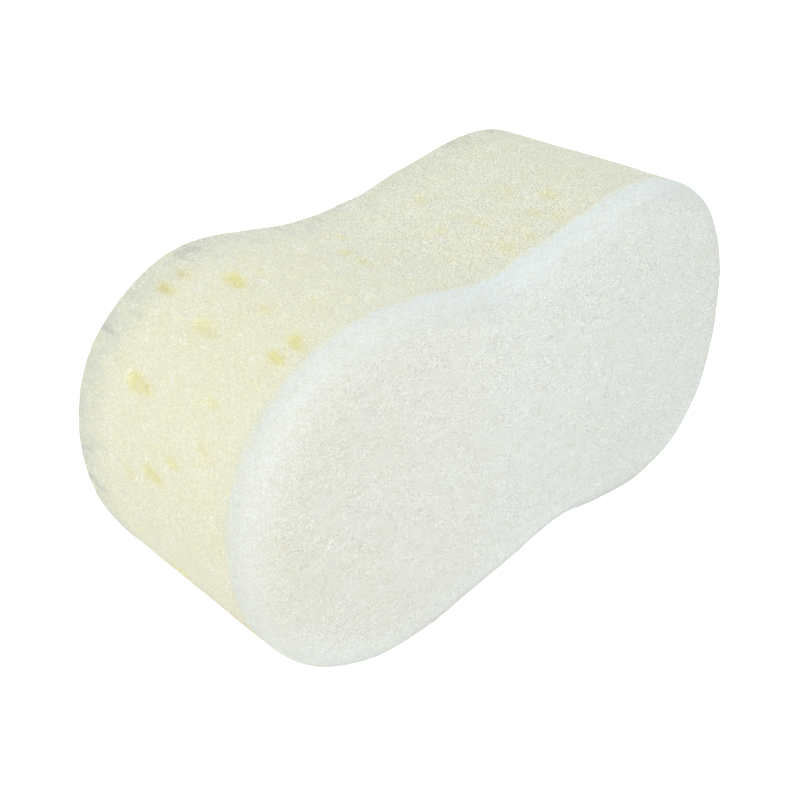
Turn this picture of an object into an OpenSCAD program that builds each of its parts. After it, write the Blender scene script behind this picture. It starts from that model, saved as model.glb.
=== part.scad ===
// Cleaning sponge: a peanut-shaped foam block with a fleece scouring pad bonded to its front face.
// It stands on the long edge of both lobes. X runs along the length, Z is up, and the pad faces -Y.

/* [Outline] */
// Length from end to end
length = 140; // [120:1:170]
// Height of the lobes, from the surface they stand on to their crowns
lobe_h = 74; // [70:0.5:82]
// Height across the waist between the lobes
waist_h = 67; // [60:0.5:69]
// Distance from each end to the crown of its lobe
crown_in = 34.5; // [32:0.5:38]
// Sideways lean that the soft outline took when it was die-cut
lean = 1.4; // [0:0.1:2.4]
// How much fuller the right lobe is than the left one
fuller = 0.8; // [0:0.1:1.2]

/* [Layers] */
// Thickness of the foam block
foam_t = 45; // [30:1:60]
// Thickness of the scouring pad
pad_t = 8; // [7:0.5:14]
// Radius of the soft edge round the pad's front face
pad_edge_r = 6; // [2:0.5:6.5]
// Radius of the edge round the foam's back face
foam_edge_r = 1.5; // [0.5:0.25:3]

/* [Open cells] */
// Number of large cells on the right end and the underside of the foam
wall_cells = 30; // [0:1:40]
// Number of large cells on the foam's back face
back_cells = 22; // [0:1:32]
// Length of the largest cell, across the foam
cell_l = 7.5; // [4:0.5:9]
// Width of the largest cell
cell_w = 3.25; // [2:0.25:4]
// Depth of the largest cell
cell_d = 1.3; // [0.6:0.1:1.8]
// Clear strip of foam between a cell and the pad or the back edge
cell_margin = 2; // [2:0.5:5]

/* [Hidden] */
foam_colour = [0.93, 0.92, 0.80];
pad_colour = [0.91, 0.92, 0.89];

// Points round the outline, steps across a rounded edge, and facets of the balls that open a cell
OUTLINE_N = 144;
EDGE_N = 6;
CELL_N = 10;

// The large cells that stand out on the left end and the top, each as [angle round the outline,
// share of the foam's thickness from its back, share of the largest cell's size, turn]
SEEN_CELLS = [
    [174, 0.39, 0.5, 60],
    [172, 0.55, 0.75, -12],
    [168, 0.66, 0.45, 0],
    [164, 0.81, 0.6, -13],
    [161, 0.37, 1, -2],
    [158, 0.77, 0.5, 0],
    [150, 0.52, 0.9, -5],
    [149, 0.89, 0.5, -21],
    [148, 0.19, 0.65, -7],
    [146, 0.92, 0.7, -28],
    [145, 0.2, 0.5, -13],
    [144, 0.66, 0.4, -37],
    [142, 0.42, 0.85, -16],
    [139, 0.77, 0.4, -44],
    [124, 0.62, 0.65, -35],
    [123, 0.48, 0.6, -35],
    [116, 0.31, 0.5, -16],
    [93, 0.58, 0.5, -50],
    [89, 0.95, 0.75, -44],
    [82, 0.68, 0.65, -13],
    [81, 0.31, 0.5, -30],
    [80, 0.98, 0.45, -50],
    [69, 0.82, 0.6, -11],
    [68, 0.96, 0.45, -46],
    [64, 0.59, 0.4, -43],
    [61, 0.79, 0.7, -23]
];

// The rest of the wall, as a start and a sweep round the outline, and the share of the foam's
// thickness that the scattered cells there keep off on both sides
OTHER_FROM = 182;
OTHER_SWEEP = 226;
OTHER_EDGE = 0.12;
// Smallest of the scattered cells, as a share of the largest
SMALL_CELL = 0.4;
// Size of a cell's small end, as a share of its large end
CELL_TAPER = 0.65;
// Most that a scattered cell is turned off the line across the foam
CELL_TURN = 18;
// Steps of an even spread that never repeats
STEP_A = 0.7549;
STEP_B = 0.5698;
STEP_C = 0.6180;
// Half the span over which the wall's direction is measured, in degrees round the outline
SLOPE_SPAN = 0.5;
// Second term of a fuller lobe, as a share of the first, which keeps the waist in its place
FULLER_HOLD = 0.6;

half_l = length / 2;
half_waist = waist_h / 2;
crown_x = half_l - crown_in;
crown_r = norm([crown_x, lobe_h / 2]);
crown_a = atan2(lobe_h / 2, crown_x);

// The outline is an even cosine series. Its first two terms set the ends and the waist, and the
// next two make it pass through the crown of the lobe and lie level there.
mean_r = (half_l + half_waist) / 2;
swing_r = (half_l - half_waist) / 2;
height_4 = cos(4 * crown_a) - 1;
height_6 = cos(6 * crown_a) - cos(2 * crown_a);
slope_4 = -4 * sin(4 * crown_a);
slope_6 = 2 * sin(2 * crown_a) - 6 * sin(6 * crown_a);
height_gap = crown_r - mean_r - swing_r * cos(2 * crown_a);
slope_gap = 2 * swing_r * sin(2 * crown_a) - crown_r / tan(crown_a);
both = height_4 * slope_6 - height_6 * slope_4;
term_4 = (height_gap * slope_6 - height_6 * slope_gap) / both;
term_6 = (height_4 * slope_gap - height_gap * slope_4) / both;

function radius_at(a) =
    mean_r + swing_r * cos(2 * a)
    + term_4 * (cos(4 * a) - 1)
    + term_6 * (cos(6 * a) - cos(2 * a))
    - lean * sin(4 * a)
    - fuller * (cos(3 * a) + FULLER_HOLD * cos(5 * a));

function cut_point(a) = radius_at(a) * [cos(a), sin(a)];

// Both feet touch the ground: the cut outline is turned by the slope between them
cut_outline = [for (i = [0:OUTLINE_N - 1]) cut_point(i * 360 / OUTLINE_N)];
left_foot = min([for (p = cut_outline) if (p[0] < 0) p[1]]);
right_foot = min([for (p = cut_outline) if (p[0] > 0) p[1]]);
settle = atan2(right_foot - left_foot, 2 * crown_x);

function turned(p, a) = [p[0] * cos(a) - p[1] * sin(a), p[0] * sin(a) + p[1] * cos(a)];
function wall_point(a) = turned(cut_point(a), -settle);
function wall_normal(a) =
    let (run = wall_point(a + SLOPE_SPAN) - wall_point(a - SLOPE_SPAN))
    [run[1], -run[0]] / norm(run);
function frac(v) = v - floor(v);
function mix(a, b, share) = a + (b - a) * share;

outline = [for (i = [0:OUTLINE_N - 1]) wall_point(i * 360 / OUTLINE_N)];
ground = min([for (p = outline) p[1]]);
middle_x = (min([for (p = outline) p[0]]) + max([for (p = outline) p[0]])) / 2;

// The outline lofted up a profile of [height, inset] steps, with flat ends
module loft(profile) {
    last = len(profile) - 1;
    angles = [for (i = [0:OUTLINE_N - 1]) i * 360 / OUTLINE_N];
    points = [
        for (step = profile, a = angles)
            let (p = wall_point(a) - step[1] * wall_normal(a)) [p[0], p[1], step[0]]
    ];
    walls = [
        for (r = [0:last - 1], i = [0:OUTLINE_N - 1])
            let (here = r * OUTLINE_N + i, next = r * OUTLINE_N + (i + 1) % OUTLINE_N)
                each [
                    [here, here + OUTLINE_N, next + OUTLINE_N],
                    [here, next + OUTLINE_N, next]
                ]
    ];
    bottom = [for (i = [0:OUTLINE_N - 1]) i];
    top = [for (i = [OUTLINE_N - 1:-1:0]) last * OUTLINE_N + i];
    polyhedron(points, concat(walls, [bottom, top]));
}

// A quarter round of radius r, as [height, inset] steps down from the flat end at height 0
function quarter_round(r) = [
    for (i = [0:EDGE_N]) let (a = 90 * i / EDGE_N) [r * (1 - cos(a)), r * (1 - sin(a))]
];
function reversed(steps) = [for (i = [len(steps) - 1:-1:0]) steps[i]];

// One open cell, egg-shaped: a large and a small ball sunk into the surface, side by side
module cell(size) {
    w = cell_w * size;
    d = cell_d * size;
    ball_r = (w * w / 4 + d * d) / (2 * d);
    reach = max(cell_l * size - w, 0) / 2;
    hull() {
        translate([0, -reach, ball_r - d])
            sphere(r = ball_r, $fn = CELL_N);
        translate([0, reach, (ball_r - d) * CELL_TAPER])
            sphere(r = ball_r * CELL_TAPER, $fn = CELL_N);
    }
}

// A cell in the wall, at an angle round the outline and a share of the foam's thickness. It is
// kept clear of the pad and of the back edge.
module wall_cell(a, across, size, turn) {
    p = wall_point(a);
    n = wall_normal(a);
    edge = cell_margin + max(cell_l * cos(turn), cell_w) * size / 2;
    translate([p[0], p[1], min(max(across * foam_t, edge), foam_t - edge)])
        rotate([0, 0, atan2(n[1], n[0])])
            rotate([90, 0, 90])
                rotate([0, 0, turn])
                    cell(size);
}

function scattered_size(i) = mix(SMALL_CELL, 1, pow(frac(i * STEP_C), 2));

module wall_cell_holes() {
    for (c = SEEN_CELLS)
        wall_cell(c[0], c[1], c[2], c[3]);
    if (wall_cells > 0)
        for (i = [1:wall_cells])
            wall_cell(
                OTHER_FROM + OTHER_SWEEP * frac(i * STEP_A),
                mix(OTHER_EDGE, 1 - OTHER_EDGE, frac(i * STEP_B)),
                scattered_size(i),
                CELL_TURN * 2 * (frac(i * STEP_C) - 0.5)
            );
}

module back_cell_holes() {
    edge = foam_edge_r + cell_margin + cell_l / 2;
    if (back_cells > 0)
        for (i = [1:back_cells])
            let (a = 360 * frac(i * STEP_A), r = sqrt(frac(i * STEP_B)))
                translate(concat((radius_at(a) - edge) * r * [cos(a), sin(a)], 0))
                    mirror([0, 0, 1])
                        rotate([0, 0, 360 * frac(i * STEP_C)])
                            cell(scattered_size(i));
}

// The stack is drawn lying on the foam's back face, then stood up on its lobes
module stood_up() {
    translate([-middle_x, (foam_t + pad_t) / 2, -ground])
        rotate([90, 0, 0])
            children();
}

module foam_block() {
    color(foam_colour)
        stood_up()
            difference() {
                loft(concat(quarter_round(foam_edge_r), [[foam_t, 0]]));
                wall_cell_holes();
                back_cell_holes();
            }
}

module scouring_pad() {
    soft_edge = [for (s = reversed(quarter_round(pad_edge_r))) [pad_t - s[0], s[1]]];
    color(pad_colour)
        stood_up()
            translate([0, 0, foam_t])
                loft(concat([[0, 0]], soft_edge));
}

foam_block();
scouring_pad();
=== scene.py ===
"""Dresses the cleaning sponge: open-cell foam, a fleece scouring pad, floor, light and camera."""

import math

import bpy
import numpy as np
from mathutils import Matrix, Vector, kdtree, noise

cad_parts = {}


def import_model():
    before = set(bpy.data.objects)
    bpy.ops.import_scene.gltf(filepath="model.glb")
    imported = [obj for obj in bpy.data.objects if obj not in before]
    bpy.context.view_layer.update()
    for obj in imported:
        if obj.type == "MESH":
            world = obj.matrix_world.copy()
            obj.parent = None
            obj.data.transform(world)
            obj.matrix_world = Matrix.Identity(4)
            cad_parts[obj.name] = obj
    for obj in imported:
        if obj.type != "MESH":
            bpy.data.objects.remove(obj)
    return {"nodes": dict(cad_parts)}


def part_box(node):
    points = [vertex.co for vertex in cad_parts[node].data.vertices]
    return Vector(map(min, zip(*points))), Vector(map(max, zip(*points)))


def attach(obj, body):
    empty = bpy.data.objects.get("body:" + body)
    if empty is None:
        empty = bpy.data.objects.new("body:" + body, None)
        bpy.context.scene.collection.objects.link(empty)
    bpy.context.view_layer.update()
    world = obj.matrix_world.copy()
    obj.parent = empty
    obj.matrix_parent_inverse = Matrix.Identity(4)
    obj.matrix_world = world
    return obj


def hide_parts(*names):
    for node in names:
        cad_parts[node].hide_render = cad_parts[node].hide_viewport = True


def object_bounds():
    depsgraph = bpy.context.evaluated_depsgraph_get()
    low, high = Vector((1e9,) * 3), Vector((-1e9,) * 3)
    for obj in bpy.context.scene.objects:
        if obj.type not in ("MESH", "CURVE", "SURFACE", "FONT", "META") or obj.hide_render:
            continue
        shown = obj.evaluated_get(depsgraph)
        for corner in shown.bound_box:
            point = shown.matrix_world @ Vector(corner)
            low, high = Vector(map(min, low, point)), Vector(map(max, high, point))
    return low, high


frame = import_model()
cad_low, cad_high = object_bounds()

# The photograph's frame in pixels, and the camera that took it: it looks down on the left end
PHOTO_SIZE = 800
FOCAL_PIXELS = 1087
SENSOR = 36.0
AZIMUTH = -45.0
ELEVATION = 32.1
DISTANCE = 0.2296
# Where the camera's axis passes the middle of the sponge, to its right and above it
AIM_RIGHT = -0.0086
AIM_UP = -0.0057

MM = 0.001
# Size of the faces that both soft pieces are remeshed to, and the gap that merges two points
FACE = 0.66 * MM
MERGE_GAP = 0.001 * MM
# Points this near the bond's plane lie on it
ON_BOND = 0.01 * MM
# Corners sharper than this keep their edge in the shading, in degrees
CRISP_ANGLE = 55
# Radius of the edge round the foam's back face
BACK_EDGE = 1.5 * MM
# How far the fleece is pressed into the foam at the bond
BOND_LAP = 0.12 * MM
# Strip beside the bond that is squared up again, and how far the bond line's wander reaches
SQUARE_STRIP = 1.2 * MM
BOND_REACH = 2.5 * MM
# Strip beside the bond that the lumps of the surface fade out in
FADE_STRIP = 2.0 * MM
# Lumps of the bond line, the cut foam and the felt, as layers of (size, height, seed)
BOND_WANDER = ((4.5 * MM, 0.35 * MM, 5.0), (1.3 * MM, 0.2 * MM, 6.0))
CUT_LUMPS = ((14.0 * MM, 0.25 * MM, 1.0), (3.0 * MM, 0.06 * MM, 2.0))
FELT_LUMPS = ((11.0 * MM, 0.25 * MM, 3.0), (2.2 * MM, 0.08 * MM, 4.0))
# Where the soft block's back edge sags or swells, as (degrees round the outline, reach in degrees,
# outward distance), and how far in from the outline that reaches
BACK_WAVES = ((128, 18, -1.1 * MM), (88, 16, -0.7 * MM), (144, 12, 0.6 * MM))
WAVE_DEPTH = 12.0 * MM

# Share of an open cell's depth that the soft skin fills again
CELL_FILL = 0.4
# Depths at which a cell's stain starts and is full, and the strip beside the bond that has no stain
STAIN_FROM = 0.02 * MM
STAIN_FULL = 0.14 * MM
STAIN_FREE = 1.5 * MM
# Tail of a cell's stain towards the pad, as steps of (distance, share)
CELL_TAIL = ((1.0 * MM, 0.75), (2.0 * MM, 0.4))
# Rounds of averaging that soften the stain, and that spread its faint warmth round the cell
STAIN_ROUNDS = 1
WARMTH_ROUNDS = 16
# How far a cell's own strength of stain reaches from its middle, and the strip it fades out in
STAIN_REACH = 4.5 * MM
STAIN_FADE = 2.0 * MM
# Cells that are yellower or paler than the rest, as (degrees round the outline, share of the block's
# thickness from its back, strength of the stain)
CELL_STAINS = (
    (174, 0.39, 0.6),
    (172, 0.55, 1.4),
    (164, 0.81, 0.35),
    (161, 0.37, 1.2),
    (158, 0.77, 0.8),
    (150, 0.52, 0.65),
    (149, 0.92, 1.8),
    (148, 0.19, 1.4),
    (146, 0.90, 0.5),
    (145, 0.20, 0.6),
    (142, 0.42, 1.8),
    (124, 0.62, 0.75),
    (116, 0.31, 1.6),
    (89, 0.91, 0.7),
    (81, 0.31, 1.4),
)

# Rates of the patterns, per metre
FOAM_PATCHES = 45.0
PAD_PATCHES = 70.0
FOAM_PORES = 1800.0
PAD_FIBRES = 3000.0
# Rate of the small nicks along the back edge, where shade is painted
NICK_SHADES = 330.0
GRAINS = 9000.0
# Mean of the fine grain, which makes a colour a touch darker
GRAIN_MEAN = 0.97

# Zones of the foam, each as the places where it starts and is full: the left end, where warm light is
# painted, the right half, where shade is painted, the upper part, and the strip where the wall turns
# under and a brown bounce light is painted, from above, from below and towards the pad
FOAM_LEFT = (-18.0 * MM, -52.0 * MM)
FOAM_RIGHT = (0.0, 45.0 * MM)
FOAM_UPPER = (34.0 * MM, 56.0 * MM)
TURN_ABOVE = (23.5 * MM, 19.5 * MM)
TURN_BELOW = (9.0 * MM, 15.0 * MM)
TURN_FRONT = (5.0 * MM, -5.0 * MM)
# The strip along the foam's back edge where grey shade is painted, as distances from its back
BACK_STRIP = (11.5 * MM, 2.0 * MM)
# Zones of the pad: the left half, its very tip, where a paler rim is painted as light, the right part,
# where shade is painted, the lower part, where cool light is painted, and the foot as a height and as
# a place along it, where brown shade is painted. The grain grows over the last one.
PAD_LEFT = (-5.0 * MM, -55.0 * MM)
PAD_TIP = (-46.0 * MM, -62.0 * MM)
PAD_RIGHT = (-10.0 * MM, 60.0 * MM)
PAD_LOW = (30.0 * MM, 14.0 * MM)
FOOT_UP = (9.0 * MM, 4.0 * MM)
FOOT_ALONG = (-44.0 * MM, -34.0 * MM)
PAD_GRAIN = (-40.0 * MM, 60.0 * MM)
# The cream strip of the pad beside the bond, as distances from it, and how ragged its border is
BOND_STRIP = (1.2 * MM, 0.4 * MM)
BOND_RAGGED = 0.6 * MM


def select_only(piece):
    """Leaves one piece selected and active, in object mode."""
    bpy.ops.object.select_all(action="DESELECT")
    piece.select_set(True)
    bpy.context.view_layer.objects.active = piece


def apply_modifier(piece, name):
    """Applies one modifier of a piece."""
    select_only(piece)
    bpy.ops.object.modifier_apply(modifier=name)


def soft_copy(node, name):
    """A copy of a CAD solid as one even skin of small square faces, with its edges softened."""
    piece = bpy.data.objects.new(name, frame["nodes"][node].data.copy())
    bpy.context.scene.collection.objects.link(piece)
    piece.data.materials.clear()
    select_only(piece)
    bpy.ops.object.mode_set(mode="EDIT")
    bpy.ops.mesh.select_all(action="SELECT")
    bpy.ops.mesh.remove_doubles(threshold=MERGE_GAP)
    bpy.ops.object.mode_set(mode="OBJECT")
    skin = piece.modifiers.new("even_skin", "REMESH")
    skin.mode = "VOXEL"
    skin.voxel_size = FACE
    skin.use_smooth_shade = True
    apply_modifier(piece, "even_skin")
    cling = piece.modifiers.new("cling", "SHRINKWRAP")
    cling.target = frame["nodes"][node]
    cling.wrap_method = "NEAREST_SURFACEPOINT"
    apply_modifier(piece, "cling")
    ease = piece.modifiers.new("ease", "SMOOTH")
    ease.factor = 0.5
    ease.iterations = 1
    apply_modifier(piece, "ease")
    return piece


def points_of(mesh):
    """The places and the outward directions of a mesh's points, as two arrays."""
    places = np.zeros(len(mesh.vertices) * 3)
    mesh.vertices.foreach_get("co", places)
    outward = np.zeros(len(mesh.vertices) * 3)
    mesh.vertex_normals.foreach_get("vector", outward)
    return places.reshape(-1, 3), outward.reshape(-1, 3)


def put_points(piece, places):
    """Puts each point of a piece at its place."""
    piece.data.vertices.foreach_set("co", places.ravel())
    piece.data.update()


def move_out(piece, amounts):
    """Moves each point of a piece outwards by its own amount."""
    places, outward = points_of(piece.data)
    put_points(piece, places + outward * amounts[:, None])


def uneven(places, layers):
    """Smooth lumps at each place, summed over layers of (size, height, seed)."""
    total = np.zeros(len(places))
    for size, height, seed in layers:
        start = Vector((seed, seed * 2.0, seed * 3.0))
        total += np.array([noise.noise(Vector(p) / size + start) for p in places]) * height
    return total


def eased(mesh, values, rounds):
    """Values of a mesh's points, averaged with their neighbours again and again."""
    edges = np.zeros(len(mesh.edges) * 2, dtype=np.int64)
    mesh.edges.foreach_get("vertices", edges)
    one, other = edges.reshape(-1, 2).T
    ends = np.concatenate([one, other])
    far = np.concatenate([other, one])
    count = np.maximum(np.bincount(ends, minlength=len(values)), 1)
    for _ in range(rounds):
        values = np.bincount(ends, weights=values[far], minlength=len(values)) / count
    return values


def trailed(places, values, steps):
    """Values of points, each spread towards the pad in steps of (distance, share), as a fading tail."""
    tree = kdtree.KDTree(len(places))
    for index, place in enumerate(places):
        tree.insert(place, index)
    tree.balance()
    spread = values.copy()
    for far, share in steps:
        behind = [tree.find(place + np.array([0.0, far, 0.0])) for place in places]
        there = np.array([values[index] if gap < FACE else 0.0 for _, index, gap in behind])
        spread = np.maximum(spread, there * share)
    return spread


def stain_at(places, ring, low, high):
    """How strong the stain of the foam's cells is at each place, where 1 is the usual strength."""
    middle = ring.mean(axis=0)
    arms = places[:, [0, 2]] - middle
    angle = np.arctan2(arms[:, 1], arms[:, 0])
    strength = np.ones(len(places))
    for degrees, share, amount in CELL_STAINS:
        along = (angle - math.radians(degrees)) * np.hypot(arms[:, 0], arms[:, 1])
        across = high.y - places[:, 1] - share * (high.y - low.y)
        near = np.clip((STAIN_REACH - np.hypot(along, across)) / STAIN_FADE, 0.0, 1.0)
        strength += (amount - 1.0) * near
    return strength


def cut_outline():
    """The sponge's cut outline, as (x, z) points in order round it, read where the pad is bonded on."""
    places, _ = points_of(frame["nodes"]["foam_block"].data)
    bonded = places[places[:, 1] < places[:, 1].min() + ON_BOND]
    ring = np.unique(np.round(bonded[:, [0, 2]], 7), axis=0)
    arms = ring - ring.mean(axis=0)
    return ring[np.argsort(np.arctan2(arms[:, 1], arms[:, 0]))]


def inset_from(ring, places):
    """How far each place lies inside the cut outline, and the way out to it, as (x, z)."""
    flat = places[:, [0, 2]]
    nearest = np.full(len(flat), np.inf)
    inset = np.zeros(len(flat))
    way_out = np.zeros_like(flat)
    for here, there in zip(ring, np.roll(ring, -1, axis=0)):
        run = there - here
        share = np.clip(((flat - here) @ run) / (run @ run), 0.0, 1.0)
        gap = here + share[:, None] * run - flat
        far = np.hypot(gap[:, 0], gap[:, 1])
        out = np.array([run[1], -run[0]]) / math.hypot(run[0], run[1])
        near = far < nearest
        nearest[near] = far[near]
        inset[near] = (gap @ out)[near]
        way_out[near] = out
    return inset, way_out


def square_up(piece, ring, bond, reach):
    """Brings the points beside the bond back out to the cut outline, where the remesh rounded it."""
    places, _ = points_of(piece.data)
    inset, way_out = inset_from(ring, places)
    beside = (np.abs(places[:, 1] - bond) < reach) & (inset < reach)
    places[beside, 0] += (way_out[:, 0] * inset)[beside]
    places[beside, 2] += (way_out[:, 1] * inset)[beside]
    put_points(piece, places)


def wander_bond(piece, ring, bond, lap=0.0):
    """Lets the bond line wander a little, alike on both of the pieces that meet there."""
    places, _ = points_of(piece.data)
    inset, _ = inset_from(ring, places)
    on_plane = places * np.array([1.0, 0.0, 1.0])
    wander = uneven(on_plane, BOND_WANDER)
    near = np.clip(1.0 - np.abs(places[:, 1] - bond) / BOND_REACH, 0.0, 1.0)
    places[:, 1] += (wander + lap) * near * np.clip(1.0 - inset / BOND_REACH, 0.0, 1.0)
    put_points(piece, places)


def wave_back(piece, ring, low, high):
    """Lets the soft block's back edge sag and swell where the photograph shows it."""
    places, _ = points_of(piece.data)
    inset, way_out = inset_from(ring, places)
    middle = ring.mean(axis=0)
    angle = np.degrees(np.arctan2(places[:, 2] - middle[1], places[:, 0] - middle[0])) % 360
    swell = np.zeros(len(places))
    for centre, reach, far in BACK_WAVES:
        near = np.clip(1.0 - np.abs(angle - centre) / reach, 0.0, 1.0)
        swell += far * near * near * (3.0 - 2.0 * near)
    share = np.clip((places[:, 1] - low.y) / (high.y - low.y), 0.0, 1.0) ** 2
    swell *= share * np.clip(1.0 - inset / WAVE_DEPTH, 0.0, 1.0)
    places[:, 0] += way_out[:, 0] * swell
    places[:, 2] += way_out[:, 1] * swell
    put_points(piece, places)


def crisp_bond(piece):
    """Keeps the shading smooth but for the square edge at the bond."""
    select_only(piece)
    bpy.ops.object.shade_smooth_by_angle(angle=math.radians(CRISP_ANGLE))


def record(piece, name, values):
    """Stores a number at each point of a piece, for its material to read."""
    layer = piece.data.attributes.new(name, "FLOAT", "POINT")
    layer.data.foreach_set("value", values)


def new_material(name):
    """An empty node material with its output, and the node that its finish goes into."""
    material = bpy.data.materials.new(name)
    material.use_nodes = True
    tree = material.node_tree
    tree.nodes.clear()
    output = tree.nodes.new("ShaderNodeOutputMaterial")
    finish = tree.nodes.new("ShaderNodeBsdfPrincipled")
    tree.links.new(finish.outputs["BSDF"], output.inputs["Surface"])
    return material, tree, finish


def add(tree, kind, values=None, **settings):
    """Adds a node, sets its properties and its inputs, and links any input given as a socket."""
    node = tree.nodes.new(kind)
    for key, value in settings.items():
        setattr(node, key, value)
    for key, value in (values or {}).items():
        if isinstance(value, bpy.types.NodeSocket):
            tree.links.new(value, node.inputs[key])
        else:
            node.inputs[key].default_value = value
    return node


def math_node(tree, operation, first, second=0.0):
    """One sum on two numbers or sockets. Returns its output."""
    return add(tree, "ShaderNodeMath", {0: first, 1: second}, operation=operation).outputs[0]


def times(tree, first, second):
    """One number or socket times another. Returns its output."""
    return math_node(tree, "MULTIPLY", first, second)


def ramp(tree, value, low, high, low_to=0.0, high_to=1.0):
    """Maps a value from one range to another, held at both ends. Returns its output."""
    sockets = {"Value": value, "From Min": low, "From Max": high, "To Min": low_to, "To Max": high_to}
    return add(tree, "ShaderNodeMapRange", sockets, clamp=True).outputs["Result"]


def blend_colour(tree, share, first, second):
    """Mixes two colours by a share. Returns its output."""
    return add(tree, "ShaderNodeMix", {0: share, 6: first, 7: second}, data_type="RGBA").outputs[2]


def scale_colour(tree, tone, amount):
    """Makes a colour lighter or darker by a number. Returns its output."""
    return add(tree, "ShaderNodeVectorMath", {0: tone, "Scale": amount}, operation="SCALE").outputs[0]


def attribute(tree, name):
    """Reads a number stored at a piece's points. Returns its output."""
    return add(tree, "ShaderNodeAttribute", attribute_name=name).outputs["Fac"]


def pattern(tree, group, place, rates):
    """Places a pattern's node group in a material, with its own rates. Returns its outputs."""
    return add(tree, "ShaderNodeGroup", {"Place": place} | rates, node_tree=group).outputs


def new_group(name, inputs, outputs):
    """A node group with named number or vector inputs and outputs."""
    group = bpy.data.node_groups.new(name, "ShaderNodeTree")
    for label, kind, value in inputs:
        socket = group.interface.new_socket(name=label, in_out="INPUT", socket_type=kind)
        if value is not None:
            socket.default_value = value
    for label, kind in outputs:
        group.interface.new_socket(name=label, in_out="OUTPUT", socket_type=kind)
    return group, group.nodes.new("NodeGroupInput"), group.nodes.new("NodeGroupOutput")


def make_mottle_group():
    """Soft patches in two sizes and a fine grain, for the tone of the foam and of the fleece."""
    group, given, made = new_group(
        "mottle",
        [
            ("Place", "NodeSocketVector", None),
            ("Patches per metre", "NodeSocketFloat", 60.0),
            ("Grains per metre", "NodeSocketFloat", 3000.0),
        ],
        [
            ("Broad", "NodeSocketFloat"),
            ("Medium", "NodeSocketFloat"),
            ("Grain", "NodeSocketFloat"),
            ("Tint", "NodeSocketFloat"),
        ],
    )
    place = given.outputs["Place"]
    rate = given.outputs["Patches per metre"]
    broad = add(group, "ShaderNodeTexNoise", {"Vector": place, "Scale": rate, "Detail": 2.0})
    closer = times(group, rate, 6.0)
    medium = add(group, "ShaderNodeTexNoise", {"Vector": place, "Scale": closer, "Detail": 2.0})
    fine = given.outputs["Grains per metre"]
    grain = add(group, "ShaderNodeTexNoise", {"Vector": place, "Scale": fine, "Detail": 1.0})
    group.links.new(ramp(group, broad.outputs["Fac"], 0.35, 0.65), made.inputs["Broad"])
    group.links.new(ramp(group, medium.outputs["Fac"], 0.32, 0.68), made.inputs["Medium"])
    group.links.new(ramp(group, grain.outputs["Fac"], 0.30, 0.70), made.inputs["Grain"])
    one = add(group, "ShaderNodeSeparateColor", {"Color": medium.outputs["Color"]}).outputs["Green"]
    other = add(group, "ShaderNodeSeparateColor", {"Color": grain.outputs["Color"]}).outputs["Green"]
    group.links.new(ramp(group, math_node(group, "ADD", one, other), 0.75, 1.25), made.inputs["Tint"])
    return group


def make_cell_group():
    """Open cells of the foam: small hollows, glints that the material paints as highlights, and soft
    yellow specks.
    """
    group, given, made = new_group(
        "open_cells",
        [("Place", "NodeSocketVector", None), ("Cells per metre", "NodeSocketFloat", 1700.0)],
        [("Hollow", "NodeSocketFloat"), ("Glint", "NodeSocketFloat"), ("Speck", "NodeSocketFloat")],
    )
    rate = given.outputs["Cells per metre"]
    squeezed = {"Vector": given.outputs["Place"], "Scale": (1.0, 0.75, 1.0)}
    place = add(group, "ShaderNodeMapping", squeezed).outputs["Vector"]
    cell = add(group, "ShaderNodeTexVoronoi", {"Vector": place, "Scale": rate}, feature="F1")
    hollow = ramp(group, cell.outputs["Distance"], 0.15, 0.65, 1.0, 0.0)
    spark = add(group, "ShaderNodeSeparateColor", {"Color": cell.outputs["Color"]})
    wide = times(group, rate, 0.17)
    cluster = add(group, "ShaderNodeTexNoise", {"Vector": place, "Scale": wide, "Detail": 1.0})
    crowd = ramp(group, cluster.outputs["Fac"], 0.55, 0.70, 0.0, 0.45)
    few = ramp(group, math_node(group, "ADD", spark.outputs["Green"], crowd), 0.89, 1.05)
    tip = ramp(group, cell.outputs["Distance"], 0.25, 0.55, 1.0, 0.0)
    sparse = times(group, rate, 0.1)
    drift = add(group, "ShaderNodeTexNoise", {"Vector": place, "Scale": wide, "Detail": 2.0})
    shifted = add(
        group,
        "ShaderNodeVectorMath",
        {0: drift.outputs["Color"], 1: (2.2 * MM, 2.2 * MM, 2.2 * MM), 2: place},
        operation="MULTIPLY_ADD",
    ).outputs[0]
    spot = add(group, "ShaderNodeTexVoronoi", {"Vector": shifted, "Scale": sparse}, feature="F1")
    chance = add(group, "ShaderNodeSeparateColor", {"Color": spot.outputs["Color"]}).outputs["Red"]
    soft = ramp(group, spot.outputs["Distance"], 0.08, 0.34, 1.0, 0.0)
    speck = times(group, soft, ramp(group, chance, 0.45, 1.0))
    group.links.new(hollow, made.inputs["Hollow"])
    group.links.new(times(group, few, tip), made.inputs["Glint"])
    group.links.new(speck, made.inputs["Speck"])
    return group


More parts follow.
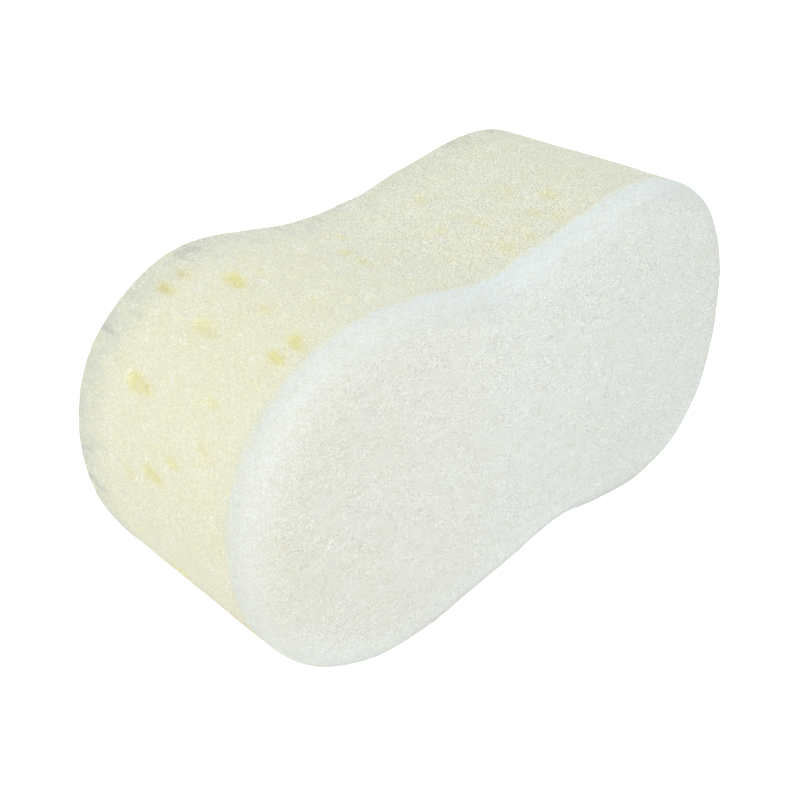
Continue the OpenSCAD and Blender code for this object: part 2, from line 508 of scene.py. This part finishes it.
def make_fibre_group():
    """A felted mat: three layers of long fine noise, laid across each other in the pad's plane."""
    group, given, made = new_group(
        "fibre_mat",
        [("Place", "NodeSocketVector", None), ("Fibres per metre", "NodeSocketFloat", 3200.0)],
        [("Strand", "NodeSocketFloat"), ("Clump", "NodeSocketFloat")],
    )
    layers = []
    for turn in (20, 80, 140):
        laid = add(
            group,
            "ShaderNodeMapping",
            {
                "Vector": given.outputs["Place"],
                "Rotation": (0.0, math.radians(turn), 0.0),
                "Scale": (0.22, 1.0, 1.0),
            },
        )
        strand = add(
            group,
            "ShaderNodeTexNoise",
            {
                "Vector": laid.outputs["Vector"],
                "Scale": given.outputs["Fibres per metre"],
                "Detail": 1.0,
                "Distortion": 0.4,
            },
        )
        layers.append(ramp(group, strand.outputs["Fac"], 0.45, 0.75))
    top = math_node(group, "MAXIMUM", layers[0], layers[1])
    group.links.new(math_node(group, "MAXIMUM", top, layers[2]), made.inputs["Strand"])
    combed = add(
        group,
        "ShaderNodeMapping",
        {
            "Vector": given.outputs["Place"],
            "Rotation": (0.0, math.radians(50), 0.0),
            "Scale": (0.4, 1.0, 1.0),
        },
    )
    wide = times(group, given.outputs["Fibres per metre"], 0.27)
    clump = add(
        group,
        "ShaderNodeTexNoise",
        {"Vector": combed.outputs["Vector"], "Scale": wide, "Detail": 3.0, "Distortion": 0.6},
    )
    group.links.new(ramp(group, clump.outputs["Fac"], 0.32, 0.68), made.inputs["Clump"])
    return group


def grain_of(tree, mottle, contrast):
    """The fine grain of a mottle with the given contrast, as an amount to scale a colour by."""
    spread = times(tree, math_node(tree, "SUBTRACT", mottle["Grain"], 0.5), contrast)
    return math_node(tree, "ADD", spread, GRAIN_MEAN)


MOTTLE = make_mottle_group()
CELLS = make_cell_group()
FIBRES = make_fibre_group()

CREAM = (0.815, 0.825, 0.69, 1.0)
CREAM_WARM = (0.84, 0.815, 0.625, 1.0)
CELL_YELLOW = (0.82, 0.775, 0.405, 1.0)
# The cells' stain near the back edge, darkened to brown as painted shade
CELL_SHADE_BROWN = (0.60, 0.55, 0.33, 1.0)
# Painted shade: the grey of the back edge's strip and the darker grey in its nicks
BACK_SHADE_GREY = (0.64, 0.67, 0.595, 1.0)
NICK_SHADE_GREY = (0.48, 0.50, 0.46, 1.0)
# Brown bounce light, painted where the left end's wall turns under
BOUNCE_LIGHT_BROWN = (0.73, 0.60, 0.44, 1.0)
# White of the glints, painted into the colour as highlights
GLINT_WHITE = (0.97, 0.98, 0.95, 1.0)


def foam_ground(tree, mottle, at_left):
    """The foam's cream in soft warm patches, with painted warm light at the left end and a faint yellow
    tint.
    """
    warm = ramp(tree, mottle["Broad"], 0.0, 1.0, 0.0, 0.25)
    # Painted warm light: warmer towards the left end
    warm = math_node(tree, "ADD", warm, times(tree, at_left, 0.45))
    tone = blend_colour(tree, warm, CREAM, CREAM_WARM)
    tint = ramp(tree, mottle["Tint"], 0.5, 1.0, 0.0, 0.22)
    return blend_colour(tree, tint, tone, CELL_YELLOW)


def foam_back_shade(tree, tone, place, mottle, at_left, near_back):
    """The strip along the back edge, with painted grey shade, darker still in small nicks."""
    patchy = ramp(tree, mottle["Medium"], 0.0, 1.0, 0.4, 0.9)
    grey_shade = times(tree, patchy, ramp(tree, at_left, 0.0, 1.0, 0.5, 1.0))
    # Painted grey shade along the back edge
    tone = blend_colour(tree, times(tree, near_back, grey_shade), tone, BACK_SHADE_GREY)
    across = add(tree, "ShaderNodeMapping", {"Vector": place, "Scale": (1.0, 0.35, 1.0)}).outputs[0]
    nick_pattern = add(tree, "ShaderNodeTexNoise", {"Vector": across, "Scale": NICK_SHADES, "Detail": 1.0})
    # Painted shade in small nicks along the back edge
    nick_shade = times(tree, ramp(tree, nick_pattern.outputs["Fac"], 0.55, 0.68), near_back)
    nick_shade = times(tree, nick_shade, ramp(tree, at_left, 0.0, 1.0, 0.35, 0.62))
    return blend_colour(tree, nick_shade, tone, NICK_SHADE_GREY)


def foam_stains(tree, tone, mottle, cells, at_left, near_back):
    """Soft yellow specks, the warmth round the large cells, and the stain inside them, a darker brown
    near the back edge as painted shade.
    """
    tone = blend_colour(tree, times(tree, cells["Speck"], 0.3), tone, CELL_YELLOW)
    tone = blend_colour(tree, times(tree, attribute(tree, "beside_cell"), 0.2), tone, CELL_YELLOW)
    stained = times(tree, attribute(tree, "sunk"), ramp(tree, at_left, 0.0, 1.0, 0.48, 0.82))
    stained = times(tree, stained, ramp(tree, mottle["Medium"], 0.0, 1.0, 0.62, 1.12))
    # The stain turns a darker brown near the back edge as painted shade
    return blend_colour(tree, stained, tone, blend_colour(tree, near_back, CELL_YELLOW, CELL_SHADE_BROWN))


def foam_painted_shading(tree, tone, sides, at_left):
    """A brown bounce light painted where the left end's wall turns under, and painted shade that makes
    the right half slightly darker.
    """
    # Painted brown bounce light where the wall turns under
    turning = ramp(tree, sides["Z"], *TURN_ABOVE)
    turning = times(tree, turning, ramp(tree, sides["Z"], *TURN_BELOW))
    turning = times(tree, turning, ramp(tree, sides["Y"], *TURN_FRONT))
    bounce_light = times(tree, turning, ramp(tree, at_left, 0.0, 1.0, 0.0, 0.5))
    tone = blend_colour(tree, bounce_light, tone, BOUNCE_LIGHT_BROWN)
    # Painted shade: darker towards the right
    return scale_colour(tree, tone, ramp(tree, sides["X"], *FOAM_RIGHT, 1.0, 0.94))


def foam_pores(tree, tone, sides, mottle, cells, at_left):
    """The fine grain, softest high on the left end, with painted shade in the pores and a few white
    glints painted as highlights.
    """
    contrast = ramp(tree, sides["Z"], *FOAM_UPPER, 0.9, 0.52)
    contrast = math_node(tree, "MAXIMUM", contrast, ramp(tree, at_left, 0.0, 1.0, 1.05, 0.0))
    tone = scale_colour(tree, tone, grain_of(tree, mottle, contrast))
    # Painted shade in the pores and painted light on their walls
    tone = scale_colour(tree, tone, ramp(tree, cells["Hollow"], 0.0, 1.0, 1.015, 0.97))
    # White glints painted into the colour as highlights
    return blend_colour(tree, times(tree, cells["Glint"], 0.7), tone, GLINT_WHITE)


def foam_finish(back):
    """Pale cream polyurethane foam: fine open cells, yellower hollows and a few white glints painted as
    highlights.
    """
    material, tree, finish = new_material("foam_cream")
    place = add(tree, "ShaderNodeTexCoord").outputs["Object"]
    sides = add(tree, "ShaderNodeSeparateXYZ", {"Vector": place}).outputs
    drawn = add(tree, "ShaderNodeMapping", {"Vector": place, "Scale": (0.7, 0.8, 1.5)}).outputs[0]
    rates = {"Patches per metre": FOAM_PATCHES, "Grains per metre": GRAINS}
    mottle = pattern(tree, MOTTLE, drawn, rates)
    cells = pattern(tree, CELLS, place, {"Cells per metre": FOAM_PORES})
    at_left = ramp(tree, sides["X"], *FOAM_LEFT)
    near_back = ramp(tree, sides["Y"], back - BACK_STRIP[0], back - BACK_STRIP[1])
    near_back = times(tree, near_back, ramp(tree, attribute(tree, "inset"), 1.0, 4.0, 1.0, 0.0))
    tone = foam_ground(tree, mottle, at_left)
    tone = foam_back_shade(tree, tone, place, mottle, at_left, near_back)
    tone = foam_stains(tree, tone, mottle, cells, at_left, near_back)
    tone = foam_painted_shading(tree, tone, sides, at_left)
    tone = foam_pores(tree, tone, sides, mottle, cells, at_left)
    tree.links.new(tone, finish.inputs["Base Color"])
    tree.links.new(ramp(tree, cells["Glint"], 0.0, 1.0, 0.92, 0.5), finish.inputs["Roughness"])
    deep = times(tree, cells["Hollow"], -1.0)
    bump = add(tree, "ShaderNodeBump", {"Height": deep, "Strength": 0.28, "Distance": 0.2 * MM})
    tree.links.new(bump.outputs["Normal"], finish.inputs["Normal"])
    finish.inputs["Specular IOR Level"].default_value = 0.2
    finish.inputs["Subsurface Weight"].default_value = 0.35
    finish.inputs["Subsurface Radius"].default_value = (1.0, 0.85, 0.45)
    finish.inputs["Subsurface Scale"].default_value = 1.2 * MM
    return material


FLEECE = (0.79, 0.82, 0.795, 1.0)
FLEECE_WARM = (0.795, 0.79, 0.705, 1.0)
# Cool light painted round the fleece's rim and on its lower part
FLEECE_COOL_LIGHT = (0.80, 0.86, 0.87, 1.0)
FLEECE_DUN = (0.76, 0.74, 0.57, 1.0)
BOND_CREAM = (0.80, 0.82, 0.69, 1.0)
# Brown shade painted at the fleece's foot, near the floor
PAD_FOOT_SHADE = (0.70, 0.67, 0.63, 1.0)


def pad_ground(tree, mottle, fibres, inset, left, low):
    """The fleece's off-white: warmer to the left, with painted cool light round its rim and low down,
    dun between its clumps.
    """
    patchy = ramp(tree, mottle["Broad"], 0.0, 1.0, 0.7, 1.1)
    patchy = times(tree, patchy, ramp(tree, low, 0.0, 1.0, 1.0, 0.5))
    tone = blend_colour(tree, times(tree, left, patchy), FLEECE, FLEECE_WARM)
    # Painted cool light round the rim, less at the left, and on the lower part
    edge = times(tree, ramp(tree, inset, 0.0, 4.0, 0.9, 0.0), ramp(tree, left, 0.0, 1.0, 1.0, 0.55))
    edge = math_node(tree, "MAXIMUM", edge, times(tree, low, 0.5))
    tone = blend_colour(tree, edge, tone, FLEECE_COOL_LIGHT)
    tint = ramp(tree, mottle["Tint"], 0.0, 1.0, 0.0, 0.35)
    tone = blend_colour(tree, tint, tone, FLEECE_WARM)
    between = ramp(tree, fibres["Clump"], 0.35, 1.0, 0.0, 0.24)
    between = times(tree, between, ramp(tree, left, 0.0, 1.0, 0.7, 1.2))
    return blend_colour(tree, between, tone, FLEECE_DUN)


def pad_edges(tree, tone, sides, mottle, bond):
    """The cream strip of the fleece beside the bond, with a ragged border, and a brown shade painted at
    its foot.
    """
    ragged = ramp(tree, mottle["Medium"], 0.0, 1.0, -BOND_RAGGED, BOND_RAGGED)
    ragged = math_node(tree, "ADD", sides["Y"], ragged)
    at_bond = ramp(tree, ragged, bond - BOND_STRIP[0], bond - BOND_STRIP[1])
    tone = blend_colour(tree, at_bond, tone, BOND_CREAM)
    # Painted brown shade at the foot
    foot_shade = ramp(tree, sides["Z"], *FOOT_UP, 0.0, 0.4)
    foot_shade = times(tree, foot_shade, ramp(tree, sides["X"], *FOOT_ALONG))
    return blend_colour(tree, foot_shade, tone, PAD_FOOT_SHADE)


def pad_grain(tree, tone, sides, mottle, fibres, inset):
    """The fleece's fine grain, softer to the left and at the rim, with its strands and clumps."""
    contrast = ramp(tree, sides["X"], *PAD_GRAIN, 0.74, 1.15)
    contrast = times(tree, contrast, ramp(tree, inset, 1.0, 5.0, 0.6, 1.0))
    tone = scale_colour(tree, tone, grain_of(tree, mottle, contrast))
    tone = scale_colour(tree, tone, ramp(tree, fibres["Strand"], 0.0, 1.0, 0.96, 1.04))
    return scale_colour(tree, tone, ramp(tree, fibres["Clump"], 0.0, 1.0, 1.01, 0.995))


def pad_painted_shading(tree, tone, sides, inset, low):
    """Painted shade that makes the fleece a little darker to the right, and painted light that makes it
    paler at its rim, low down and again well inside it.
    """
    # Painted shade: the fleece darker towards the right
    tone = scale_colour(tree, tone, ramp(tree, sides["X"], *PAD_RIGHT, 1.0, 0.955))
    # Painted light on the rim, brightest at the tip, lower down and well inside
    bright = ramp(tree, sides["X"], *PAD_TIP, 1.05, 1.0)
    rim = ramp(tree, inset, 0.2, 1.8, bright, 0.972)
    rim = times(tree, rim, ramp(tree, low, 0.0, 1.0, 1.0, 1.035))
    rim = times(tree, rim, ramp(tree, inset, 2.5, 5.5, 1.0, 1.04))
    return scale_colour(tree, tone, rim)


def pad_finish(bond):
    """Off-white fleece: a felted mat of fine fibres, with painted cool light along its edge and warmer
    inside.
    """
    material, tree, finish = new_material("fleece_white")
    place = add(tree, "ShaderNodeTexCoord").outputs["Object"]
    sides = add(tree, "ShaderNodeSeparateXYZ", {"Vector": place}).outputs
    rates = {"Patches per metre": PAD_PATCHES, "Grains per metre": GRAINS}
    mottle = pattern(tree, MOTTLE, place, rates)
    fibres = pattern(tree, FIBRES, place, {"Fibres per metre": PAD_FIBRES})
    inset = attribute(tree, "inset")
    left = ramp(tree, sides["X"], *PAD_LEFT, 0.05, 0.9)
    low = ramp(tree, sides["Z"], *PAD_LOW)
    low = times(tree, low, ramp(tree, inset, 4.0, 11.0, 1.0, 0.0))
    tone = pad_ground(tree, mottle, fibres, inset, left, low)
    tone = pad_edges(tree, tone, sides, mottle, bond)
    tone = pad_grain(tree, tone, sides, mottle, fibres, inset)
    tone = pad_painted_shading(tree, tone, sides, inset, low)
    tree.links.new(tone, finish.inputs["Base Color"])
    finish.inputs["Roughness"].default_value = 0.95
    height = math_node(tree, "ADD", fibres["Strand"], mottle["Grain"])
    bump = add(tree, "ShaderNodeBump", {"Height": height, "Strength": 0.3, "Distance": 0.12 * MM})
    tree.links.new(bump.outputs["Normal"], finish.inputs["Normal"])
    finish.inputs["Specular IOR Level"].default_value = 0.15
    finish.inputs["Sheen Weight"].default_value = 0.1
    finish.inputs["Sheen Roughness"].default_value = 0.6
    return material


def make_foam(ring):
    """The foam block, with its large cells sunk in it and a slightly uneven cut surface."""
    foam = soft_copy("foam_block", "foam")
    low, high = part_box("foam_block")
    square_up(foam, ring, low.y, SQUARE_STRIP)
    places, _ = points_of(foam.data)
    inset, _ = inset_from(ring, places)
    behind = high.y - places[:, 1]
    depth = np.minimum(inset, behind)
    turned = (inset < BACK_EDGE) & (behind < BACK_EDGE)
    depth[turned] = BACK_EDGE - np.hypot(BACK_EDGE - inset, BACK_EDGE - behind)[turned]
    depth[places[:, 1] < low.y + STAIN_FREE] = 0.0
    sunk = np.clip((depth - STAIN_FROM) / (STAIN_FULL - STAIN_FROM), 0.0, 1.0)
    stained = trailed(places, sunk, CELL_TAIL)
    stained *= stain_at(places, ring, low, high)
    record(foam, "sunk", eased(foam.data, stained, STAIN_ROUNDS))
    record(foam, "beside_cell", eased(foam.data, sunk, WARMTH_ROUNDS))
    record(foam, "inset", inset / MM)
    free = np.clip((places[:, 1] - low.y) / FADE_STRIP, 0.0, 1.0)
    move_out(foam, (uneven(places, CUT_LUMPS) + depth * CELL_FILL) * free)
    wave_back(foam, ring, low, high)
    wander_bond(foam, ring, low.y)
    crisp_bond(foam)
    foam.data.materials.append(foam_finish(high.y))
    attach(foam, "root")
    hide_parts("foam_block")
    return foam


def make_pad(ring):
    """The scouring pad, felted and slightly uneven, with its soft rounded front edge."""
    pad = soft_copy("scouring_pad", "pad")
    low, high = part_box("scouring_pad")
    square_up(pad, ring, high.y, SQUARE_STRIP)
    places, _ = points_of(pad.data)
    inset, _ = inset_from(ring, places)
    record(pad, "inset", inset / MM)
    free = np.clip((high.y - places[:, 1]) / FADE_STRIP, 0.0, 1.0)
    move_out(pad, uneven(places, FELT_LUMPS) * free)
    wander_bond(pad, ring, high.y, BOND_LAP)
    crisp_bond(pad)
    pad.data.materials.append(pad_finish(high.y))
    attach(pad, "root")
    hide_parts("scouring_pad")
    return pad


def make_camera():
    """The camera at the photograph's place, aimed a little off the sponge's middle."""
    a = math.radians(AZIMUTH)
    e = math.radians(ELEVATION)
    back = Vector((math.sin(a) * math.cos(e), -math.cos(a) * math.cos(e), math.sin(e)))
    right = Vector((math.cos(a), math.sin(a), 0.0))
    up = back.cross(right)
    middle = (cad_low + cad_high) / 2
    data = bpy.data.cameras.new("camera")
    data.sensor_width = SENSOR
    data.lens = FOCAL_PIXELS / PHOTO_SIZE * SENSOR
    data.clip_start = 0.01
    camera = bpy.data.objects.new("camera", data)
    camera.location = middle + right * AIM_RIGHT + up * AIM_UP + back * DISTANCE
    camera.rotation_mode = "QUATERNION"
    camera.rotation_quaternion = (-back).to_track_quat("-Z", "Y")
    bpy.context.scene.collection.objects.link(camera)
    bpy.context.scene.camera = camera


# Strength of the even light from all round, and of the floor's white glow behind its shadow
ROUND_LIGHT = 0.56
FLOOR_GLOW = 0.75


def background_share(tree):
    """1 for rays that only see the background, from the camera or in a gloss, and 0 for light."""
    path = add(tree, "ShaderNodeLightPath")
    seen = math_node(tree, "MAXIMUM", path.outputs["Is Camera Ray"], path.outputs["Is Glossy Ray"])
    return math_node(tree, "MAXIMUM", seen, path.outputs["Is Transmission Ray"])


def make_world():
    """A white surround that lights the sponge softly from all sides."""
    world = bpy.data.worlds.new("studio")
    bpy.context.scene.world = world
    world.use_nodes = True
    tree = world.node_tree
    tree.nodes.clear()
    share = background_share(tree)
    light = add(tree, "ShaderNodeBackground", {"Color": (0.97, 1.0, 1.0, 1.0), "Strength": ROUND_LIGHT})
    white = add(tree, "ShaderNodeBackground", {"Color": (1.0, 1.0, 1.0, 1.0), "Strength": 1.0})
    mix = add(tree, "ShaderNodeMixShader", {0: share, 1: light.outputs[0], 2: white.outputs[0]})
    output = add(tree, "ShaderNodeOutputWorld")
    tree.links.new(mix.outputs[0], output.inputs["Surface"])


def make_floor():
    """A plain white floor that keeps a faint shadow."""
    bpy.ops.object.select_all(action="DESELECT")
    bpy.ops.mesh.primitive_plane_add(size=6.0, location=(0.0, 0.0, 0.0))
    floor = bpy.context.object
    floor.name = "floor"
    material = bpy.data.materials.new("floor_white")
    material.use_nodes = True
    tree = material.node_tree
    tree.nodes.clear()
    strength = times(tree, background_share(tree), FLOOR_GLOW)
    cloth = add(tree, "ShaderNodeBsdfDiffuse", {"Color": (0.85, 0.85, 0.85, 1.0)})
    glow = add(tree, "ShaderNodeEmission", {"Color": (1.0, 1.0, 1.0, 1.0), "Strength": strength})
    both = add(tree, "ShaderNodeAddShader", {0: cloth.outputs[0], 1: glow.outputs[0]})
    output = add(tree, "ShaderNodeOutputMaterial")
    tree.links.new(both.outputs[0], output.inputs["Surface"])
    floor.data.materials.append(material)


def make_lamp(name, place, size, watts, colour):
    """A soft square lamp that points at the middle of the sponge."""
    data = bpy.data.lights.new(name, "AREA")
    data.size = size
    data.energy = watts
    data.color = colour
    lamp = bpy.data.objects.new(name, data)
    lamp.location = place
    towards = (cad_low + cad_high) / 2 - Vector(place)
    lamp.rotation_mode = "QUATERNION"
    lamp.rotation_quaternion = towards.to_track_quat("-Z", "Y")
    bpy.context.scene.collection.objects.link(lamp)


make_camera()
make_world()
make_floor()
make_lamp("left", (-0.92, 0.05, 0.32), 0.6, 2.6, (1.0, 0.975, 0.93))
make_lamp("top", (-0.05, -0.05, 1.15), 0.7, 2.0, (0.98, 1.0, 1.0))
make_lamp("back", (0.62, 0.80, 0.36), 0.7, 3.0, (1.0, 1.0, 1.0))
make_lamp("front", (-0.12, -0.94, 0.42), 0.7, 3.75, (1.0, 0.995, 0.98))
outline = cut_outline()
make_foam(outline)
make_pad(outline)

bpy.context.scene.view_settings.view_transform = "Standard"
